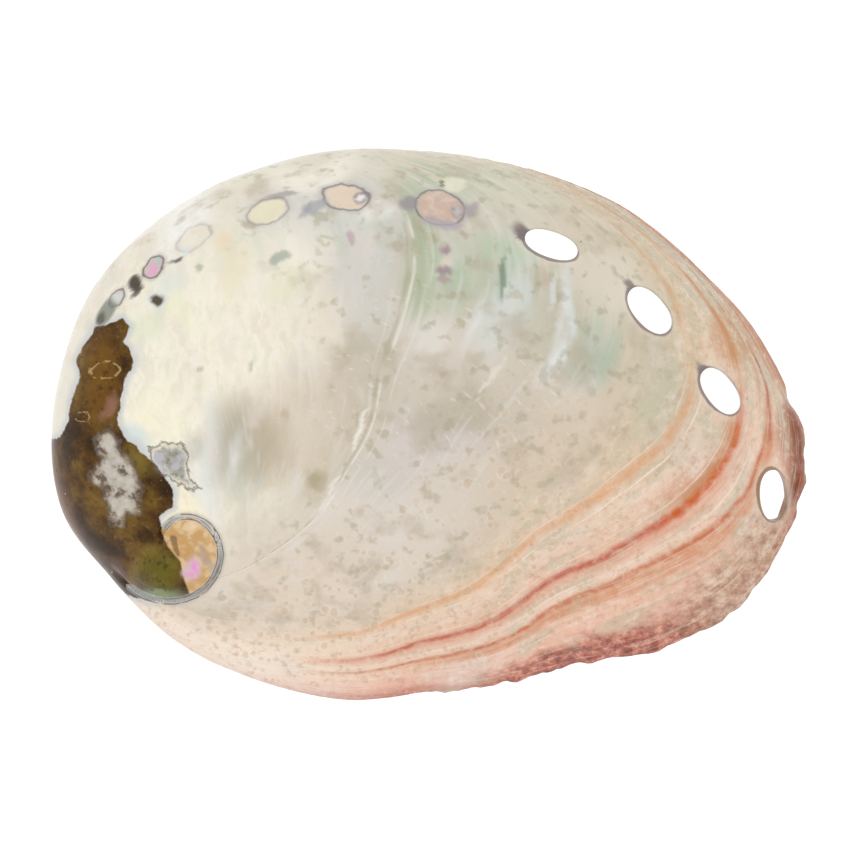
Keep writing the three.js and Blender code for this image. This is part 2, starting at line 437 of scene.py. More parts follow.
def zip_loops(mesh, outer, ring, centre, half, turn):
    """Triangles between a ragged loop and an even ring inside it, both going the same way round."""
    points = mesh.all_points()
    outer_at = bearings_round(points, outer, centre, half, turn)
    ring_at = bearings_round(points, ring, centre, half, turn)
    sense = 1 if outer_at[-1] > outer_at[0] else -1
    if (ring_at[-1] > ring_at[0]) != (sense > 0):
        ring = ring[::-1]
        ring_at = bearings_round(points, ring, centre, half, turn)
    first = int(np.argmin(np.abs(np.angle(np.exp(1j * (ring_at - outer_at[0]))))))
    ring = list(ring[first:]) + list(ring[:first])
    ring_at = bearings_round(points, ring, centre, half, turn)
    ring_at += TURN * round((outer_at[0] - ring_at[0]) / TURN)
    outer_end = np.append(outer_at, outer_at[0] + sense * TURN) * sense
    ring_end = np.append(ring_at, ring_at[0] + sense * TURN) * sense
    i = j = 0
    while i < len(outer) or j < len(ring):
        here, there = outer[i % len(outer)], ring[j % len(ring)]
        if j == len(ring) or (i < len(outer) and outer_end[i + 1] <= ring_end[j + 1]):
            i += 1
            mesh.faces.append([here, outer[i % len(outer)], there])
        else:
            j += 1
            mesh.faces.append([here, ring[j % len(ring)], there])


def widened(half, margin):
    return half[0] + margin, half[1] + margin


def oval_ring(centre, half, turn):
    """Points round an oval with slightly squared ends."""
    angle = math.radians(turn)
    bearing = np.linspace(0, TURN, PORE_SIDES, endpoint=False)
    long = half[0] * np.sign(np.cos(bearing)) * np.abs(np.cos(bearing)) ** 0.9
    wide = half[1] * np.sign(np.sin(bearing)) * np.abs(np.sin(bearing)) ** 0.9
    x = centre[0] + long * math.cos(angle) - wide * math.sin(angle)
    y = centre[1] + long * math.sin(angle) + wide * math.cos(angle)
    return np.stack([x, y], -1)


def bore_pore(mesh, pore):
    """A through pore: a rounded lip outside, a throat, and a soft edge on the inner face."""
    centre, half, turn, drift, lip = pore
    drift = np.array(drift)
    mouth = np.array(centre) + 0.4 * drift
    back = np.array(centre) - 1.2 * drift
    foot = outer_surface(find_on_bowl(oval_ring(mouth, widened(half, lip), turn)))
    crest_plan = oval_ring(mouth, widened(half, 0.2 * lip), turn)
    crest = outer_surface(find_on_bowl(crest_plan))
    shift = (crest[:, :2] - crest_plan).mean(0)
    back = back + shift
    edge = inner_surface(find_on_bowl(oval_ring(back, widened(half, 0.5 * lip), turn), True))
    rear = inner_surface(find_on_bowl(oval_ring(back, widened(half, lip), turn), True))
    upper = np.concatenate([oval_ring(mouth + shift, widened(half, -0.05), turn), crest[:, 2:] - 0.4], -1)
    lower = np.concatenate([oval_ring(back, widened(half, -0.05), turn), edge[:, 2:] + 0.5], -1)
    throat = mix(upper, lower, 0.5)
    knots = [foot, crest, upper, throat, lower, edge, rear]
    rings = [mesh.add_points(ring) + np.arange(PORE_SIDES) for ring in rounded(knots)]
    for above, below in zip(rings[:-1], rings[1:]):
        mesh.add_strip(below, above)
    cleared = widened(half, lip + 0.35)
    ragged = open_hole(mesh, *mesh.outer_span, mouth, cleared, turn)
    zip_loops(mesh, ragged, list(rings[0]), mouth, half, turn)
    ragged = open_hole(mesh, *mesh.inner_span, back, cleared, turn)
    zip_loops(mesh, ragged, list(rings[-1]), back, half, turn)


def rounded(knots):
    """Rings through the knots, with two more between each pair on a smooth curve."""
    rings = [knots[0]]
    last = len(knots) - 1
    for index in range(last):
        p0, p3 = knots[max(0, index - 1)], knots[min(last, index + 2)]
        p1, p2 = knots[index], knots[index + 1]
        rings += [curve(p0, p1, p2, p3, t) for t in (1 / 3, 2 / 3, 1)]
    return rings


def add_rim(mesh, outer_rim, inner_rim):
    """The ground band, with its outer corner rounded off."""
    points = mesh.all_points()
    top, bottom = points[outer_rim], points[inner_rim]
    loops = [outer_rim]
    for share, rise in ((0.06, -0.22), (0.16, -0.36), (0.3, -0.42), (0.6, -0.42), (0.86, -0.36)):
        ring = mix(top, bottom, share)
        ring[:, 2] += rise
        loops.append(mesh.add_points(ring) + np.arange(SPOKES))
    loops.append(inner_rim)
    for above, below in zip(loops[:-1], loops[1:]):
        mesh.add_strip(above, below)


def fit_to_frame(points):
    """Brings the points to the frame's own box, in metres. Only the outer part of the plan moves."""
    fitted = points.copy()
    for axis, half in ((0, LENGTH / 2), (1, WIDTH / 2)):
        for side in (-1, 1):
            reach = side * points[:, axis]
            start = 0.8 * half
            outer = reach > start
            squeeze = (half - start) / (reach.max() - start)
            fitted[outer, axis] = side * (start + (reach[outer] - start) * squeeze)
    lowest, highest = points[:, 2].min(), points[:, 2].max()
    fitted[:, 2] = (points[:, 2] - lowest) / (highest - lowest) * HEIGHT
    middle = [(LOW[0] + HIGH[0]) / 2, (LOW[1] + HIGH[1]) / 2, LOW[2]]
    return fitted / 1000 + middle


def shell_mesh():
    mesh = ShellMesh()
    outer_rim = mesh.add_disc(outer_surface, OUTER_RINGS, 1.5, True)
    mesh.outer_span = (0, mesh.count)
    inner_rim = mesh.add_disc(inner_surface, INNER_RINGS, 1.2, False)
    mesh.inner_span = (mesh.outer_span[1], mesh.count)
    add_rim(mesh, outer_rim, inner_rim)
    for pore in OPEN_PORES:
        bore_pore(mesh, pore)
    return mesh


def add_values(data, name, kind, key, values):
    attribute = data.attributes.new(name, kind, "POINT")
    attribute.data.foreach_set(key, values.astype(np.float32).ravel())


def make_shell():
    mesh = shell_mesh()
    points = mesh.all_points()
    used = np.unique(np.concatenate([np.array(face) for face in mesh.faces]))
    renumber = np.full(len(points), -1)
    renumber[used] = np.arange(len(used))
    points = points[used]
    faces = [[int(renumber[corner]) for corner in face] for face in mesh.faces]
    data = bpy.data.meshes.new("shell_skin")
    data.from_pydata(fit_to_frame(points).tolist(), [], faces)
    data.polygons.foreach_set("use_smooth", [True] * len(data.polygons))
    x, y = points[:, 0], points[:, 1]
    inside = (used >= mesh.inner_span[0]) & (used < mesh.inner_span[1])
    for name, values in {**colour_fields(x, y), "inside": inside}.items():
        add_values(data, name, "FLOAT", "value", values)
    add_values(data, "washes", "FLOAT_COLOR", "color", laid_paint(x, y, WASHES, 1.2, 9, 0.55))
    add_values(data, "marks", "FLOAT_COLOR", "color", laid_paint(x, y, MARKS, 0.3, 2.4, 0.25))
    data.update()
    piece = bpy.data.objects.new("shell_skin", data)
    bpy.context.scene.collection.objects.link(piece)
    return piece


# ---- Colour fields ----
def rgb(red, green, blue):
    """Linear colour from 0..255 screen values."""
    linear = [((c / 255 + 0.055) / 1.055) ** 2.4 if c > 10 else c / 3295 for c in (red, green, blue)]
    return (*linear, 1)


# Closed shapes in plan: the brown layer left on the old whorl, the bare patch worn through it,
# the scar beside it and the nub of the spire.
BROWN = [
    (-57.2, 16.7), (-54.2, 17.4), (-52.4, 18.1), (-51.2, 16.6), (-51.8, 14.8), (-52.4, 14.2), (-50.9, 12.8),
    (-50.4, 11.1), (-50.8, 9.4), (-52, 7.7), (-52.8, 4), (-53.1, 0.1), (-52.2, -2.2), (-49.9, -3.5),
    (-48.6, -5.3), (-46.4, -7), (-44.7, -9.1), (-43.6, -11.7), (-43.8, -13.9), (-45.9, -15.8),
    (-45.5, -18.2), (-44.7, -20.3), (-42, -23.8), (-39.5, -29.2), (-43, -29.8), (-45.5, -30),
    (-48.1, -30.3), (-50.7, -29.7), (-53, -28.4), (-56, -27.5), (-68, -14), (-69, -3), (-63.8, -2.2),
    (-62.1, 0.8), (-61.5, 4.2), (-60, 8.5), (-60.6, 11.1), (-59.8, 12.8),
]
BARE = [
    (-56.7, -1.4), (-54.2, -0.3), (-52.2, -2.7), (-52.9, -4), (-51.6, -5.7), (-49.9, -7.8), (-49.2, -10.4),
    (-49.9, -15.4), (-51.6, -15.4), (-52.9, -17.1), (-54.2, -16.7), (-55.7, -12.6), (-55.4, -10.9),
    (-57.8, -10.2), (-58.5, -9.1), (-57, -7.8), (-56.5, -5.7), (-57.1, -3.5),
]
SCAR = [
    (-47.9, -3.7), (-45.5, -3.3), (-42.3, -3.5), (-41.2, -5.3), (-41.5, -7), (-40.4, -9.1), (-39.1, -10.6),
    (-40.4, -11.3), (-43, -9.6), (-44.7, -8.7), (-46.4, -7),
]
NUB = [
    (-45.4, -18), (-43.8, -16.4), (-41, -15.6), (-37.8, -17), (-36, -20.5), (-36, -25), (-38.2, -28.4),
    (-40.5, -29.3), (-41.6, -26.2), (-42.2, -23.2), (-44.4, -20.6),
]
# Where the green streaks show: centre, half size, turn in degrees and strength.
GREENS = [
    ((14, 26), (13, 12), 0, 1), ((-1, 30), (6, 22), 0, 1), ((28, 15), (12, 10), -40, 0.8),
    ((40, 5), (9, 9), 0, 0.5), ((3, 42), (16, 8), 0, 0.8), ((-20, 33), (30, 10), 8, 0.6),
]
# Broad soft washes of colour: centre, half size, turn in degrees, colour and strength.
WASHES = [
    ((-31, 30), (13, 8), 20, (240, 238, 222), 0.4), ((-42, 4), (14, 24), 0, (246, 240, 222), 0.35),
    ((-30, 14), (14, 14), 0, (246, 236, 218), 0.3), ((-20, 37), (8, 5), 0, (214, 216, 208), 0.6),
    ((-47, 0.5), (4.6, 6), -30, (250, 244, 216), 0.7), ((-48.5, 16), (2.8, 3.4), 0, (222, 228, 198), 0.6),
    ((-50.3, -1.5), (2.5, 2.6), 0, (204, 220, 222), 0.7), ((-40.5, -13.4), (3, 3), 0, (252, 242, 212), 0.8),
    ((-36.8, -6), (2.4, 9), 0, (228, 232, 232), 0.6), ((-41, -4.5), (2, 2.5), 0, (188, 184, 172), 0.5),
    ((-43, 20), (3, 5), 20, (234, 236, 200), 0.5), ((-34, 27), (1.6, 6), 10, (232, 222, 186), 0.5),
    ((-44, 24.5), (3.4, 2.2), 0, (220, 226, 220), 0.6), ((-31, -3), (6, 8), 0, (160, 146, 118), 0.75),
    ((-32, -7), (2.6, 8), 8, (186, 192, 176), 0.45), ((-20, -2), (11, 11), 0, (200, 184, 162), 0.6),
    ((-10.5, 9.5), (6, 9), 0, (190, 178, 156), 0.55), ((6, 2.5), (13, 7), 0, (194, 184, 166), 0.5),
    ((-11, 28), (5, 14), 0, (206, 210, 204), 0.5), ((-1, 28), (4, 9), 0, (182, 190, 162), 0.6),
    ((9, 24), (7, 7), 0, (186, 194, 172), 0.6), ((8, 40), (13, 4), 0, (202, 206, 186), 0.5),
    ((14, 31), (5, 3), -20, (186, 202, 178), 0.7), ((20.5, 16), (8, 7), -40, (188, 186, 166), 0.5),
    ((27, 13), (4, 7), -30, (192, 202, 190), 0.55), ((13, 20), (3.4, 8), -18, (214, 224, 222), 0.6),
    ((40, 6), (5, 9), 0, (196, 192, 170), 0.6), ((31, 24), (6, 5), -40, (224, 216, 200), 0.6),
    ((-10, -20), (14, 9), 0, (228, 216, 204), 0.6), ((-24, -28), (14, 6), -8, (232, 214, 196), 0.6),
    ((-2, -14), (12, 8), 10, (220, 210, 198), 0.5), ((46, -3), (6, 6), 0, (214, 200, 184), 0.5),
    ((55, -15), (5, 9), 0, (226, 208, 192), 0.5), ((-2.9, 31), (1.8, 10), 4, (164, 178, 144), 0.6),
    ((4.6, 25.5), (2.4, 6), -5, (174, 194, 166), 0.6), ((27.5, 10.5), (4, 4.5), -30, (170, 184, 164), 0.6),
    ((-24, 24), (3, 2.4), 0, (222, 226, 186), 0.5), ((0, -3), (9, 5), 0, (214, 204, 204), 0.45),
    # The narrow pale washes at (21, 10.5) and (22.8, 17.5) lie along the painted highlight streak at (22.4,
    # 16.5) and brighten it.
    ((21, 10.5), (1.6, 5), -14, (228, 226, 222), 0.7), ((22.8, 17.5), (1.1, 8), -14, (222, 232, 232), 0.6),
    # The wash at (-42, 35) is partly the rim's pale cream and partly painted light brightening the steep
    # upper-left wall.
    ((-42, 35), (6, 4), 40, (246, 246, 240), 0.7), ((-21, 29), (6, 5), 0, (246, 242, 228), 0.5),
    ((-9.5, 36.5), (2.4, 2), 0, (238, 236, 228), 0.7), ((0, 15), (2.4, 4), 0, (226, 222, 214), 0.6),
    ((-9, -9), (6, 5), 0, (202, 196, 190), 0.4), ((5, 3), (5, 3), 30, (176, 166, 142), 0.5),
    ((0.5, -1.5), (2.4, 4), 10, (170, 160, 136), 0.36), ((-24, -22), (10, 7), 0, (216, 200, 178), 0.4),
    ((52, 16), (3, 5), 50, (204, 140, 92), 0.6), ((63.2, -4), (2.8, 9), 0, (158, 104, 78), 0.65),
    # The wash at (-20, 43.5) is partly the rim's pale cream and partly painted light brightening the steep
    # upper wall.
    ((41.4, -11.3), (1.8, 4), -20, (204, 146, 116), 0.5), ((-20, 43.5), (7, 2.4), 8, (250, 244, 230), 0.6),
]
# Small marks, described in the same way.
MARKS = [
    ((-50.1, 23.8), (1.4, 1.1), 60, (64, 52, 38), 0.95),
    ((-49.9, 22.7), (1.7, 0.4), 38, (92, 80, 76), 0.85),
    ((-46.2, 21.2), (1.6, 1.4), 0, (218, 222, 224), 0.7),
    ((-46.2, 21.2), (0.95, 1.0), 10, (70, 60, 36), 0.95),
    ((-55.4, 19.2), (2.6, 1.1), 50, (128, 132, 122), 0.85),
    ((-56.2, 18.2), (1.3, 0.6), 50, (74, 70, 56), 0.7),
    ((-53.3, 21.8), (1.0, 0.6), 50, (216, 216, 214), 0.8),
    ((-43.1, 28.3), (1.3, 0.4), 12, (104, 98, 104), 0.9),
    # A painted bluish highlight beside the dark slit above.
    ((-41.2, 29.5), (1.0, 0.45), 50, (206, 228, 232), 0.8),
    ((-39.1, 26.7), (0.7, 0.6), 0, (164, 174, 162), 0.7),
    ((-47.5, 26.5), (0.8, 0.8), 0, (232, 170, 206), 0.85),
    ((-46.2, 27.9), (0.9, 0.5), 50, (176, 206, 190), 0.8),
    ((-25.4, 28.3), (1.7, 0.9), 0, (170, 178, 162), 0.85),
    ((-17.6, 31.4), (1.3, 0.7), 0, (188, 188, 160), 0.8),
    ((-17.6, 31.5), (0.8, 0.35), 0, (232, 228, 214), 0.8),
    ((-13.3, 31.8), (0.7, 1.3), 0, (190, 164, 172), 0.75),
    ((2.8, 29.6), (1.2, 0.8), 0, (168, 138, 148), 0.9), ((2.8, 27.6), (1.2, 0.7), 0, (226, 206, 196), 0.8),
    ((2.6, 26.2), (1.3, 0.7), -15, (162, 136, 146), 0.85),
    ((2.6, 24.5), (1.2, 0.7), 0, (176, 156, 158), 0.85), ((2.2, 41.1), (0.7, 0.5), 20, (104, 96, 66), 0.9),
    ((4.4, 41.3), (1.8, 1.3), 0, (232, 230, 204), 0.7),
    ((-38.9, 9.0), (0.9, 0.35), 25, (184, 174, 146), 0.7),
    ((-30.7, 9.8), (0.35, 0.8), 0, (178, 172, 158), 0.7), ((-18, 20), (0.9, 0.6), 0, (196, 190, 160), 0.6),
    ((12.3, 24.5), (0.45, 4.4), -6, (106, 126, 102), 0.7),
    ((10.6, 8.1), (0.4, 4.6), -35, (232, 224, 212), 0.6),
    ((-35.2, 31.4), (1.5, 1.8), 0, (240, 218, 188), 0.5),
    ((-11.9, -1), (0.4, 4), -18, (244, 240, 232), 0.7),
    ((-16.6, -11.4), (0.4, 3.6), -32, (242, 236, 226), 0.6),
    ((21, 22.5), (0.7, 3.5), -10, (226, 232, 232), 0.5), ((-19, -9.5), (1.6, 2), 0, (168, 156, 122), 0.55),
    ((-24.5, 1.5), (1.0, 0.8), 0, (190, 168, 140), 0.5),
    ((-38.4, -22.5), (0.7, 2.4), 20, (176, 160, 152), 0.6),
    ((-43.4, -20.6), (0.6, 1.6), 25, (112, 80, 44), 0.7),
    # A painted golden highlight on the nub.
    ((-40.8, -17.4), (1.6, 0.7), 8, (238, 216, 178), 0.6),
    # Points and shiny fillings at the older end of each pore.
    ((16.3, 32.5), (2.6, 0.9), -36, (124, 112, 112), 0.95),
    ((34.4, 23.0), (1.9, 0.8), -50, (136, 124, 118), 0.9),
    ((46.9, 9.2), (1.7, 0.8), -50, (130, 116, 114), 0.9),
    ((-3.7, 37.6), (1.4, 0.9), 30, (156, 148, 152), 0.85),
    ((7.0, 36.4), (1.0, 1.2), 20, (168, 160, 162), 0.8),
    ((2.0, 34.1), (3.4, 0.9), -6, (176, 168, 176), 0.75),
    ((-19.4, 37.2), (2.4, 0.9), 20, (170, 168, 172), 0.8),
    ((-21.2, 36.2), (2.0, 0.5), 60, (166, 162, 172), 0.7),
    ((-25.2, 39.2), (3.0, 0.5), 10, (158, 148, 146), 0.7),
    ((-31.0, 34.2), (1.4, 0.5), -30, (176, 160, 146), 0.6),
    ((4.6, 36.2), (1.2, 1.3), 0, (152, 144, 146), 0.85),
    ((4.7, 36.2), (0.75, 0.85), 0, (206, 198, 196), 0.85),
    ((-11.6, 38.8), (1.3, 1.2), 0, (140, 130, 132), 0.85),
    ((-11.6, 38.8), (0.8, 0.75), 0, (240, 234, 236), 0.95),
]


def laid_paint(x, y, shapes, warp, size, soft):
    """Colour and share of soft shapes at each point, the later ones over the earlier."""
    x, y = x + warp * ripple(x, y, size, 31), y + warp * ripple(x, y, size, 32)
    paint = np.zeros((len(x), 4))
    for centre, half, turn, tint, strength in shapes:
        share = strength * smooth((1 + soft - oval_reach(x, y, centre, half, turn)) / (2 * soft))
        paint = paint * (1 - share)[:, None] + np.outer(share, rgb(*tint))
    return paint


def depth_inside(x, y, shape):
    """Distance in from the edge of a closed shape; negative outside."""
    inside = np.zeros(x.shape, bool)
    nearest = np.full(x.shape, 1e9)
    for (x0, y0), (x1, y1) in zip(shape, shape[1:] + shape[:1]):
        dx, dy = x1 - x0, y1 - y0
        t = np.clip(((x - x0) * dx + (y - y0) * dy) / (dx * dx + dy * dy), 0, 1)
        nearest = np.minimum(nearest, np.hypot(x - x0 - t * dx, y - y0 - t * dy))
        if dy:
            crosses = ((y0 > y) != (y1 > y)) & (x < x0 + (y - y0) / dy * dx)
            inside ^= crosses
    return np.where(inside, nearest, -nearest)


def spot(x, y, centre, half, turn=0):
    """1 in the middle of a soft oval, 0 at its edge."""
    return smooth(1 - oval_reach(x, y, centre, half, turn))


def suture_gap(x, y):
    """Distance to the suture, kept large where there is none."""
    _, age, _, outer_gap, inner_gap = spire_place(x, y)
    outer = outer_gap + 9 * (1 - suture_presence(age)) + 9 * smooth((age - 2.3) / 0.6)
    inner = inner_gap + 9 * (1 - suture_presence(age + TURN)) + 9 * smooth((age + TURN - 2.3) / 0.6)
    return np.minimum(outer, inner)


def banding_age(age, place):
    """Growth age with the lag that the bands show on the lower right corner."""
    return age - 0.045 * smooth(age / 0.17) * np.exp(-(((place - 2.03) / 0.16) ** 2))


def colour_fields(x, y):
    """Numbers for each point of the mesh that the paint is steered by."""
    age, place = growth_age(x, y)
    green = sum(strength * spot(x, y, centre, half, turn) for centre, half, turn, strength in GREENS)
    cream = spot(x, y, (-38, 6), (34, 44), 10) * 1.3
    return {
        "age": banding_age(age, place),
        "place": place,
        "brown": depth_inside(x, y, BROWN),
        "bare": depth_inside(x, y, BARE),
        "scar": depth_inside(x, y, SCAR),
        "nub": depth_inside(x, y, NUB),
        "suture": suture_gap(x, y),
        "green": np.clip(green, 0, 1),
        "cream": np.clip(cream, 0, 1),
    }


# ---- Materials ----
class Painter:
    """Builds one material, laying colour over colour. Places and sizes are in millimetres."""

    def __init__(self, name):
        self.material = bpy.data.materials.new(name)
        self.material.use_nodes = True
        self.tree = self.material.node_tree
        self.shader = self.tree.nodes["Principled BSDF"]
        metres = self.add("TexCoord").outputs["Object"]
        self.solid = self.vector("MULTIPLY", metres, (1000, 1000, 1000))
        self.plan = self.vector("MULTIPLY", metres, (1000, 1000, 0))
        self.age = self.field("age")
        self.place = self.field("place")
        self.colour = None

    def put(self, socket, value):
        if isinstance(value, bpy.types.NodeSocket):
            self.tree.links.new(value, socket)
        else:
            socket.default_value = value

    def add(self, kind, inputs=None, **settings):
        """A new node; each input is a number, a colour or another node's output."""
        node = self.tree.nodes.new("ShaderNode" + kind)
        for name, value in settings.items():
            setattr(node, name, value)
        for name, value in (inputs or {}).items():
            self.put(node.inputs[name], value)
        return node

    def vector(self, operation, a, b):
        return self.add("VectorMath", {0: a, 1: b}, operation=operation).outputs[0]

    def calc(self, operation, a, b):
        return self.add("Math", {0: a, 1: b}, operation=operation).outputs[0]

    def times(self, *values):
        total = values[0]
        for value in values[1:]:
            total = self.calc("MULTIPLY", total, value)
        return total

    def swing(self, noise, amount):
        """Noise turned into a push to either side, `amount` from end to end."""
        return self.times(self.calc("SUBTRACT", noise, 0.5), amount)

    def field(self, name):
        return self.add("Attribute", attribute_name=name).outputs["Fac"]

    def noise(self, size, detail, rough=0.5, vector=None):
        """Smooth noise 0..1 with features about `size` across."""
        inputs = {"Vector": vector or self.solid, "Scale": 1 / size, "Detail": detail, "Roughness": rough}
        return self.add("TexNoise", inputs).outputs["Fac"]

    def growth_noise(self, across, along, detail, rough=0.5):
        """Noise drawn out along the growth lines: `across` and `along` are how fast it changes."""
        drawn = {0: self.times(self.age, across), 1: self.times(self.place, along)}
        return self.noise(1, detail, rough, self.add("CombineXYZ", drawn).outputs[0])

    def split(self, colour):
        return self.add("SeparateColor", {0: colour}).outputs

    def cells(self, size, vector=None):
        """Distance from the nearest of scattered points, and a random number for that point."""
        node = self.add("TexVoronoi", {"Vector": vector or self.plan, "Scale": 1 / size})
        return node.outputs["Distance"], self.split(node.outputs["Color"])[0]

    def step(self, value, low, high):
        """0 at low, 1 at high, smooth between."""
        inputs = {"Value": value, "From Min": low, "From Max": high}
        return self.add("MapRange", inputs, interpolation_type="SMOOTHSTEP", clamp=False).outputs["Result"]

    def peak(self, value, centre, half):
        """1 at centre, 0 beyond half to either side."""
        away = self.calc("SUBTRACT", value, centre)
        return self.step(self.calc("ABSOLUTE", away, 0), half, 0)

    def oval(self, centre, half, turn, vector):
        """Distance from the middle of an oval, 1 on its edge."""
        frame = {"Location": (*centre, 0), "Rotation": (0, 0, math.radians(turn)), "Scale": (*half, 1)}
        place = self.add("Mapping", {"Vector": vector, **frame}, vector_type="TEXTURE").outputs[0]
        return self.add("VectorMath", {0: place}, operation="LENGTH").outputs["Value"]

    def warped(self, amount, size):
        """Plan coordinates pushed about by noise, for ragged edges."""
        noise = self.add("TexNoise", {"Vector": self.solid, "Scale": 1 / size})
        parts = self.split(noise.outputs["Color"])
        push = {axis: self.swing(parts[axis], 2 * amount) for axis in (0, 1)}
        return self.vector("ADD", self.plan, self.add("CombineXYZ", push).outputs[0])

    def blend(self, share, under, over):
        return self.add("Mix", {"Factor": share, 6: under, 7: over}, data_type="RGBA").outputs[2]

    def over(self, under, tint, *shares):
        """Paint over another colour, as strong as the product of the shares."""
        tint = rgb(*tint) if isinstance(tint, tuple) else tint
        return self.blend(self.times(*shares), under, tint)

    def lay(self, tint, *shares):
        """Paint over the material's colour so far."""
        self.colour = self.over(self.colour, tint, *shares)

    def lay_held(self, name):
        """Lays the paint that the mesh holds under that name."""
        paint = self.add("Attribute", attribute_name=name)
        under = self.blend(paint.outputs["Alpha"], self.colour, (0, 0, 0, 1))
        inputs = {"Factor": 1, 6: under, 7: paint.outputs["Color"]}
        self.colour = self.add("Mix", inputs, data_type="RGBA", blend_type="ADD").outputs[2]

    def ramp(self, value, stops):
        """Colour by value, from the first stop to the last; stops are (value, colour)."""
        low, high = stops[0][0], stops[-1][0]
        spread = self.calc("DIVIDE", self.calc("SUBTRACT", value, low), high - low)
        node = self.add("ValToRGB", {"Fac": spread})
        elements = node.color_ramp.elements
        while len(elements) < len(stops):
            elements.new(1)
        for element, (at, colour) in zip(elements, stops):
            element.position = (at - low) / (high - low)
            element.color = rgb(*colour)
        return node.outputs["Color"]


# Ground colour by growth age: beside the spire, on the broad side, farther back and on the pore wall.
NEAR_SPIRE = [
    (0.0, (226, 204, 186)), (0.03, (246, 226, 210)), (0.08, (248, 232, 214)), (0.17, (250, 234, 214)),
    (0.28, (236, 218, 196)), (0.4, (222, 206, 186)),
]
YOUNG_BROAD = [
    (0.0, (176, 100, 86)), (0.018, (206, 136, 116)), (0.04, (234, 180, 158)), (0.075, (236, 192, 168)),
    (0.105, (234, 194, 166)), (0.135, (236, 206, 184)), (0.155, (232, 194, 172)), (0.2, (232, 194, 168)),
    (0.24, (234, 208, 186)), (0.28, (232, 198, 168)), (0.33, (222, 200, 174)), (0.4, (214, 198, 176)),
]
OLD_BROAD = [
    (0.4, (214, 198, 176)), (0.7, (213, 203, 190)), (0.92, (215, 206, 195)), (1.0, (208, 199, 186)),
    (1.3, (215, 204, 192)), (1.7, (224, 214, 198)), (2.2, (232, 226, 210)), (3.0, (232, 226, 210)),
]
WALL = [
    (0.0, (178, 112, 78)), (0.02, (198, 144, 112)), (0.05, (208, 174, 144)), (0.085, (204, 190, 168)),
    (0.13, (206, 190, 164)), (0.2, (210, 196, 172)), (0.3, (210, 192, 162)), (0.42, (208, 196, 172)),
    (0.7, (210, 202, 182)), (1.0, (220, 214, 196)), (1.5, (230, 224, 206)), (2.4, (236, 230, 216)),
]
# Coloured growth lines: age, half width, colour, strength, and the places they run between.
BANDS = [
    (0.0975, 0.018, (208, 130, 86), 0.65, 1.55, 2.45),
    (0.112, 0.01, (196, 100, 52), 0.85, 1.3, 2.42),
    (0.165, 0.034, (222, 150, 118), 0.6, 1.2, 2.3),
    (0.172, 0.013, (186, 84, 62), 0.85, 1.35, 2.2),
    (0.172, 0.015, (206, 88, 22), 0.95, 2.06, 2.38),
    (0.184, 0.022, (192, 124, 70), 0.7, 2.1, 2.38),
    (0.184, 0.019, (184, 100, 38), 0.95, 2.36, 2.6),
    (0.184, 0.026, (204, 156, 108), 0.7, 2.34, 3.0),
    (0.288, 0.02, (220, 156, 104), 0.6, 1.2, 2.34),
    (0.32, 0.02, (204, 152, 104), 0.6, 2.32, 2.6),
    (0.21, 0.02, (222, 174, 124), 0.6, 2.5, 3.2),
    (0.102, 0.01, (178, 92, 66), 0.85, 2.3, 2.52),
    (0.125, 0.012, (196, 150, 112), 0.5, 2.34, 2.7),
    (0.06, 0.009, (182, 102, 76), 0.75, 2.44, 2.75),
    (0.03, 0.012, (190, 118, 84), 0.6, 2.5, 3.6),
    (0.022, 0.034, (128, 58, 22), 1.0, 2.27, 2.48),
    (0.0, 0.035, (170, 98, 62), 0.9, 2.42, 2.85),
]
# Thin growth lines: age, half width, colour and strength.
FINE_LINES = [
    (0.135, 0.0022, (244, 226, 208), 0.8), (0.1935, 0.002, (246, 228, 206), 0.7),
    (0.262, 0.0028, (244, 230, 208), 0.85), (0.3, 0.0022, (242, 230, 210), 0.5),
    (0.945, 0.008, (238, 234, 222), 0.6), (0.96, 0.011, (176, 168, 142), 0.55),
    (0.9, 0.007, (232, 228, 216), 0.35),
]


def paint_ground(p):
    """Colour by growth age, with cream pleats and green streaks."""
    young = p.blend(p.step(p.place, 1.1, 1.75), p.ramp(p.age, NEAR_SPIRE), p.ramp(p.age, YOUNG_BROAD))
    back = p.blend(p.step(p.age, 0.395, 0.405), young, p.ramp(p.age, OLD_BROAD))
    p.colour = p.blend(p.step(p.place, 2.28, 2.5), back, p.ramp(p.age, WALL))
    pleats = p.ramp(p.growth_noise(7, 3, 3), [
        (0.3, (228, 208, 186)), (0.42, (238, 230, 212)), (0.52, (246, 242, 226)), (0.6, (232, 232, 208)),
        (0.7, (218, 222, 212)),
    ])
    p.lay(pleats, p.field("cream"), p.step(p.noise(14, 2), 0.25, 0.6))
    streaks = p.step(p.growth_noise(34, 5, 2), 0.35, 0.62)
    p.lay((170, 184, 154), p.field("green"), p.step(streaks, 0.1, 0.9), 0.85)


def paint_mosaic(p):
    """Soft cream, grey-green and bluish patches of the oldest part of the back, drawn out lengthwise."""
    patch = p.noise(1, 4, 0.6, p.vector("MULTIPLY", p.warped(1.5, 6), (0.3, 0.13, 0)))
    mosaic = p.ramp(patch, [
        (0.32, (206, 210, 190)), (0.42, (238, 230, 206)), (0.5, (246, 240, 226)), (0.58, (230, 216, 194)),
        (0.68, (206, 214, 212)),
    ])
    p.lay(mosaic, p.field("cream"), 0.8)
    p.lay((206, 200, 170), p.step(p.noise(2.2, 4, 0.65), 0.56, 0.66), p.field("cream"), 0.35)


def paint_blotches(p):
    """Tan and grey-green blotches over the middle of the back, and pale ones all over."""
    middle = p.times(p.step(p.age, 0.16, 0.42), p.step(p.age, 2.4, 1.3), p.step(p.field("cream"), 0.7, 0.2))
    p.lay((182, 168, 146), p.step(p.noise(7, 3, 0.55), 0.5, 0.68), middle, 0.5)
    p.lay((168, 160, 132), p.step(p.noise(2.6, 2), 0.56, 0.7), middle, 0.5)
    p.lay((226, 218, 210), p.step(p.growth_noise(6, 4.4, 3), 0.52, 0.72), 0.5)


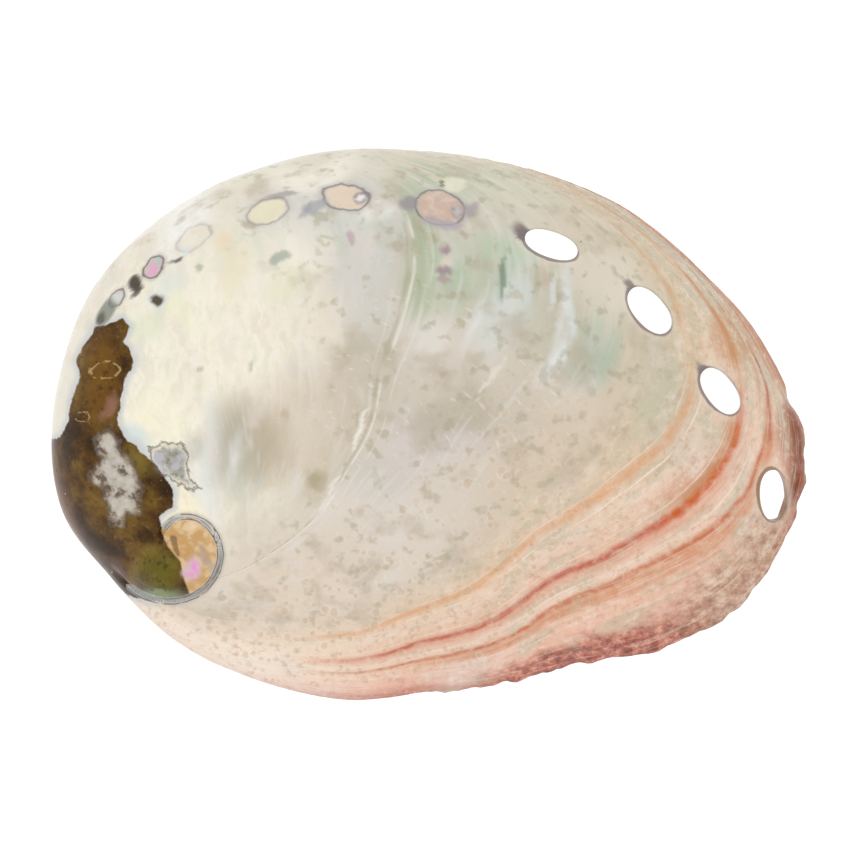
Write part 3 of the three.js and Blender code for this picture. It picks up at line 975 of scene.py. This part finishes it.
def paint_streaks(p):
    """Milky streaks along the growth lines, and three short pale streaks across them; the first two are
    painted highlights.
    """
    p.lay((228, 228, 224), p.step(p.growth_noise(40, 5, 1), 0.58, 0.7), p.step(p.age, 0.3, 0.5), 0.22)
    ragged = p.warped(1.2, 5)
    # The first two streaks, at (22.4, 16.5) and (7.5, 17), are painted highlights; the third, at (-33, -6),
    # is a pale streak.
    for streak in (((22.4, 16.5), (10, 1.5), 76), ((7.5, 17), (7, 1.3), 70), ((-33, -6), (8, 1.8), 80)):
        p.lay((230, 231, 229), p.step(p.oval(*streak, ragged), 1.1, -0.2), 0.6)
    zone = p.times(p.step(p.age, 0.35, 0.5), p.step(p.age, 1.5, 1.1), p.step(p.place, 2.3, 2.0))
    p.lay((238, 232, 226), p.step(p.growth_noise(20, 110, 1), 0.64, 0.74), zone, 0.32)


def paint_young_mottling(p):
    """Grey-green and tan patches between the bands of the young broad side."""
    zone = p.times(p.step(p.age, 0.45, 0.3), p.step(p.place, 1.5, 1.9))
    patch = p.growth_noise(30, 14, 4, 0.62)
    p.lay((198, 190, 164), p.step(patch, 0.48, 0.62), zone, 0.55)
    p.lay((234, 220, 204), p.step(patch, 0.44, 0.32), zone, 0.5)
    grain = p.noise(1.4, 4, 0.68)
    young = p.step(p.age, 0.5, 0.2)
    p.lay((190, 142, 112), p.step(grain, 0.54, 0.64), young, 0.35)
    p.lay((246, 230, 214), p.step(grain, 0.46, 0.36), young, 0.35)


def paint_bands(p):
    """The coloured growth bands, wavering and worn patchy."""
    moved = p.calc("ADD", p.age, p.swing(p.noise(9, 4, 0.6), 0.026))
    patchy = p.step(p.noise(2.2, 4, 0.65), 0.34, 0.56)
    worn = p.calc("ADD", p.times(patchy, 0.45), 0.55)
    for centre, half, tint, strength, first, last in BANDS:
        fade_in, fade_out = (0.3, 0.12) if first < 2 else (0.06, 0.05)
        start, end = p.step(p.place, first, first + fade_in), p.step(p.place, last, last - fade_out)
        p.lay(tint, p.peak(moved, centre, half), p.times(start, end), worn, strength)


def paint_rim(p):
    """Dark crumpled layers along the lower right edge, browner towards the last pore."""
    ragged = p.calc("ADD", p.age, p.swing(p.noise(3.5, 4, 0.6), 0.06))
    tone = p.noise(1.9, 4, 0.7)
    maroon = p.ramp(tone, [
        (0.34, (104, 50, 46)), (0.46, (156, 84, 72)), (0.56, (192, 120, 102)), (0.66, (226, 166, 146)),
    ])
    brown = p.ramp(tone, [
        (0.34, (134, 92, 66)), (0.46, (178, 140, 112)), (0.56, (204, 176, 150)), (0.66, (222, 200, 178)),
    ])
    p.lay(maroon, p.step(ragged, 0.06, 0.03), p.step(p.place, 1.76, 1.88), p.step(p.place, 2.16, 2.06), 0.85)
    p.lay(brown, p.step(ragged, 0.1, 0.05), p.step(p.place, 2.03, 2.14), p.step(p.place, 2.34, 2.26), 0.7)


def paint_fine_lines(p):
    """Thin pale growth lines, close together near the rim and a few far back."""
    wander = p.calc("ADD", p.age, p.swing(p.noise(12, 2), 0.012))
    broken = p.step(p.growth_noise(20, 14, 2), 0.35, 0.55)
    for at, half, tint, strength in FINE_LINES:
        p.lay(tint, p.peak(wander, at, half), broken, p.step(p.place, 2.36, 2.2), strength)
    hair = p.growth_noise(260, 9, 2, 0.6)
    near_rim = p.step(p.age, 0.42, 0.1)
    p.lay((246, 226, 210), p.step(hair, 0.56, 0.7), near_rim, 0.35)
    p.lay((196, 140, 112), p.step(hair, 0.44, 0.3), near_rim, 0.3)


def paint_rings(p):
    """Small ringed spots, thickest below the middle."""
    zone = p.times(p.step(p.age, 0.03, 0.1), p.step(p.age, 0.85, 0.45), p.step(p.place, 2.25, 1.9))
    loose = p.warped(0.4, 1.6)
    for size, fill, edge in (
        (2.2, (204, 176, 146), (242, 226, 206)),
        (1.5, (196, 166, 138), (234, 214, 192)),
    ):
        distance, chance = p.cells(size, loose)
        here = p.times(p.step(chance, 0.5, 0.56), zone)
        p.lay(fill, p.step(distance, 0.34, 0.2), here, 0.4)
        p.lay(edge, p.peak(distance, 0.38, 0.1), here, 0.2)


# Patches on the brown layer: centre, half size, turn in degrees, colour and strength.
BROWN_PATCHES = [
    ((-46.5, -25), (5, 5), -20, (112, 104, 26), 0.7), ((-56, 8), (4, 10), -5, (112, 72, 8), 0.7),
    ((-54.6, 3.4), (1.0, 3.6), -22, (148, 104, 88), 0.8), ((-63, -14), (2.6, 12), 22, (128, 92, 74), 0.6),
    ((-46, -29), (5, 1.6), 0, (140, 156, 112), 0.7), ((-49.5, -6.5), (4, 2), -40, (124, 106, 40), 0.6),
    ((-53.6, -24.6), (2.2, 1.8), 0, (96, 70, 62), 0.7),
]


def brown_layer(p):
    layer = p.ramp(p.noise(8, 5, 0.62), [
        (0.3, (34, 18, 0)), (0.42, (58, 34, 2)), (0.5, (82, 54, 8)), (0.6, (112, 82, 26)),
        (0.7, (132, 106, 58)),
    ])
    loose = p.warped(2, 5)
    for centre, half, turn, tint, strength in BROWN_PATCHES:
        layer = p.over(layer, tint, p.step(p.oval(centre, half, turn, loose), 1.1, 0.3), strength)
    layer = p.over(layer, (150, 128, 84), p.step(p.noise(1.2, 4, 0.7), 0.6, 0.7), 0.4)
    layer = p.over(layer, (44, 26, 8), p.step(p.noise(1.7, 4, 0.7), 0.45, 0.36), 0.55)
    distance, chance = p.cells(1.3)
    layer = p.over(layer, (206, 184, 128), p.step(distance, 0.14, 0.07), p.step(chance, 0.78, 0.82), 0.8)
    frayed = p.warped(0.7, 1.6)
    broken = p.step(p.noise(1.5, 2), 0.42, 0.5)
    for crack in (((-55.4, 9.2), (2.6, 1.4), 8), ((-59.2, 1.4), (1.4, 0.9), 0)):
        line = p.peak(p.oval(*crack, frayed), 1.0, 0.16)
        layer = p.over(layer, (196, 166, 104), line, broken, 0.7)
    return layer


def paint_brown(p):
    """The dark outer layer left on the old whorl, with its ragged pale border."""
    edge = p.calc("ADD", p.field("brown"), p.swing(p.noise(2.6, 4, 0.6), 1.6))
    halo = p.times(p.step(edge, -1.6, -0.3), p.step(p.field("suture"), 0.5, 1.2), 0.85)
    p.lay((204, 206, 206), halo, p.step(p.field("nub"), -0.8, -1.6))
    p.lay(brown_layer(p), p.step(edge, -0.2, 0.12))


def paint_worn(p):
    """Where the brown layer is worn through, and the scar beside it."""
    ragged = p.swing(p.noise(3.2, 5, 0.65), 4.5)
    tone = p.noise(2.2, 4, 0.65)
    for name, dark, mid, light in (
        ("bare", (112, 96, 82), (188, 180, 166), (208, 200, 188)),
        ("scar", (86, 88, 76), (142, 146, 128), (186, 178, 186)),
    ):
        inside = p.calc("ADD", p.field(name), ragged)
        p.lay((98, 86, 78), p.peak(inside, -0.15, 0.4), 0.75)
        p.lay(p.ramp(tone, [(0.36, dark), (0.46, mid), (0.62, light)]), p.step(inside, -0.3, 1.3), 0.92)


def paint_spire(p):
    """The tan nub with its pink light, and the grey suture round it, edged by a pale band that is partly a
    painted highlight.
    """
    nub = p.blend(p.step(p.noise(1.8, 3), 0.4, 0.65), rgb(202, 160, 104), rgb(224, 192, 148))
    p.lay(nub, p.step(p.field("nub"), -0.55, -0.1))
    blush = p.oval((-40.4, -24.7), (1.9, 2.6), -15, p.warped(0.9, 2))
    p.lay((216, 186, 196), p.step(blush, 1.15, 0.4), 0.9)
    p.lay((236, 152, 214), p.step(blush, 0.8, 0.2), p.step(p.noise(1.1, 2), 0.4, 0.6))
    gap = p.calc("ADD", p.field("suture"), p.swing(p.noise(2.4, 3), 0.35))
    # A pale band beside the suture: partly its own pale colour, partly a painted highlight along the suture
    # ridge.
    p.lay((222, 218, 214), p.step(gap, 0.85, 0.5), 0.6)
    p.lay((104, 98, 98), p.peak(gap, 0.48, 0.17), p.step(p.noise(3, 2), 0.3, 0.5))
    p.lay((164, 172, 176), p.step(gap, 0.34, 0.2), 0.75)
    p.lay((98, 100, 106), p.step(gap, 0.12, 0.04), 0.7)


# Fill colour of each healed pore and the strength of its outline, oldest last.
PLUGS = [
    ((208, 182, 166), 0.7), ((226, 208, 186), 0.7), ((232, 226, 198), 0.4), ((236, 230, 216), 0.22),
    ((208, 184, 192), 0.9), ((200, 202, 194), 0.8),
]
# Edge and wall colour of each open pore.
PORE_EDGES = [(138, 124, 120), (138, 124, 118), (136, 120, 114), (148, 108, 80)]


def paint_pores(p):
    """Filled and outlined healed pores, and the edges of the open ones."""
    ragged = p.warped(0.6, 2.4)
    mottle = p.times(p.step(p.noise(2, 3), 0.4, 0.65), 0.5)
    for (centre, half, turn), (plug, outline) in zip(CLOSED_PORES, PLUGS):
        reach = p.oval(centre, half, turn, ragged)
        border = 0.42 / half[1]
        p.lay((184, 178, 178), p.step(reach, 1.25 + border, 1.0), 0.7 * outline)
        p.lay((124, 104, 100), p.peak(reach, 1.0, border * 0.6), outline)
        fill = p.blend(mottle, rgb(*plug), rgb(230, 216, 196))
        p.lay(fill, p.step(reach, 1.0 - border * 0.3, 0.97 - border))
    close = p.warped(0.25, 2.2)
    for (centre, half, turn, _, _), edge in zip(OPEN_PORES, PORE_EDGES):
        reach = p.oval(centre, half, turn, close)
        p.lay((224, 214, 196), p.step(reach, 1.5, 1.1), 0.35)
        p.lay(edge, p.step(reach, 1.12, 1.04), 0.85)


def paint_inside(p):
    """The hollow side, a silvery nacre with soft pink and green lights."""
    silver = p.ramp(p.noise(11, 3, 0.5), [
        (0.32, (188, 206, 196)), (0.44, (214, 216, 210)), (0.54, (226, 222, 220)), (0.62, (222, 200, 206)),
        (0.68, (196, 204, 214)),
    ])
    p.lay(silver, p.field("inside"))


def surface_relief(p):
    """Bump: growth hairlines near the rim and a faint grain all over."""
    hair = p.times(p.growth_noise(240, 7, 3, 0.6), p.step(p.age, 0.6, 0.05))
    grain = p.calc("ADD", p.times(p.noise(1.1, 4, 0.6), 0.35), p.times(p.noise(4, 2), 0.4))
    height = p.calc("ADD", hair, grain)
    return p.add("Bump", {"Strength": 0.6, "Distance": 0.0002, "Height": height}).outputs["Normal"]


# A thin clear layer over the nacre, set on the shader itself.
GLOSS = {
    "IOR": 1.35, "Specular IOR Level": 0.3, "Coat Weight": 0.12, "Coat IOR": 1.35, "Coat Roughness": 0.1,
}


def nacre_material():
    p = Painter("nacre")
    paint_ground(p)
    paint_mosaic(p)
    p.lay_held("washes")
    for paint in (
        paint_blotches, paint_streaks, paint_young_mottling, paint_bands, paint_rim, paint_fine_lines,
        paint_rings, paint_brown, paint_worn, paint_spire, paint_pores,
    ):
        paint(p)
    p.lay_held("marks")
    paint_inside(p)
    p.put(p.shader.inputs["Base Color"], p.colour)
    p.put(p.shader.inputs["Roughness"], p.calc("ADD", p.times(p.noise(3, 3, 0.6), 0.3), 0.15))
    p.put(p.shader.inputs["Normal"], surface_relief(p))
    for name, value in GLOSS.items():
        p.shader.inputs[name].default_value = value
    return p.material


# ---- Scene ----
def make_floor():
    bpy.ops.mesh.primitive_plane_add(size=6, location=(0, 0, 0))
    floor = bpy.context.object
    floor.name = "floor"
    material = bpy.data.materials.new("floor")
    material.use_nodes = True
    shader = material.node_tree.nodes["Principled BSDF"]
    shader.inputs["Base Color"].default_value = (0.25, 0.25, 0.25, 1)
    shader.inputs["Roughness"].default_value = 0.9
    shader.inputs["Emission Color"].default_value = (1, 1, 1, 1)
    shader.inputs["Emission Strength"].default_value = FLOOR_GLOW
    floor.data.materials.append(material)


def add_softbox(name, place, size, power):
    light = bpy.data.lights.new(name, "AREA")
    light.shape = "RECTANGLE"
    light.size, light.size_y = size
    light.energy = power
    lamp = bpy.data.objects.new(name, light)
    lamp.location = place
    aim = -np.array(place)
    lamp.rotation_euler = (math.atan2(math.hypot(aim[0], aim[1]), -aim[2]), 0, math.atan2(aim[0], -aim[1]))
    bpy.context.scene.collection.objects.link(lamp)


def make_lights():
    world = bpy.context.scene.world or bpy.data.worlds.new("studio")
    bpy.context.scene.world = world
    world.use_nodes = True
    world.node_tree.nodes["Background"].inputs["Color"].default_value = (1, 1, 1, 1)
    world.node_tree.nodes["Background"].inputs["Strength"].default_value = SKY_STRENGTH
    add_softbox("overhead", (0.0, 0.05, 2.2), (2.4, 2.4), OVERHEAD_POWER)
    add_softbox("key", (-0.5, 0.6, 0.9), (0.7, 0.7), KEY_POWER)


def make_camera():
    camera = bpy.data.cameras.new("camera")
    camera.lens = LENS
    camera.sensor_width = SENSOR
    view = bpy.data.objects.new("camera", camera)
    span = LENGTH / 1000 / FRAME_SHARE
    view.location = (*CAMERA_PLAN, span * LENS / SENSOR + CAMERA_RISE)
    bpy.context.scene.collection.objects.link(view)
    bpy.context.scene.camera = view


bpy.context.scene.view_settings.view_transform = "Standard"
make_camera()
make_lights()
make_floor()
shell = make_shell()
shell.data.materials.append(nacre_material())
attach(shell, "root")
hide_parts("shell")
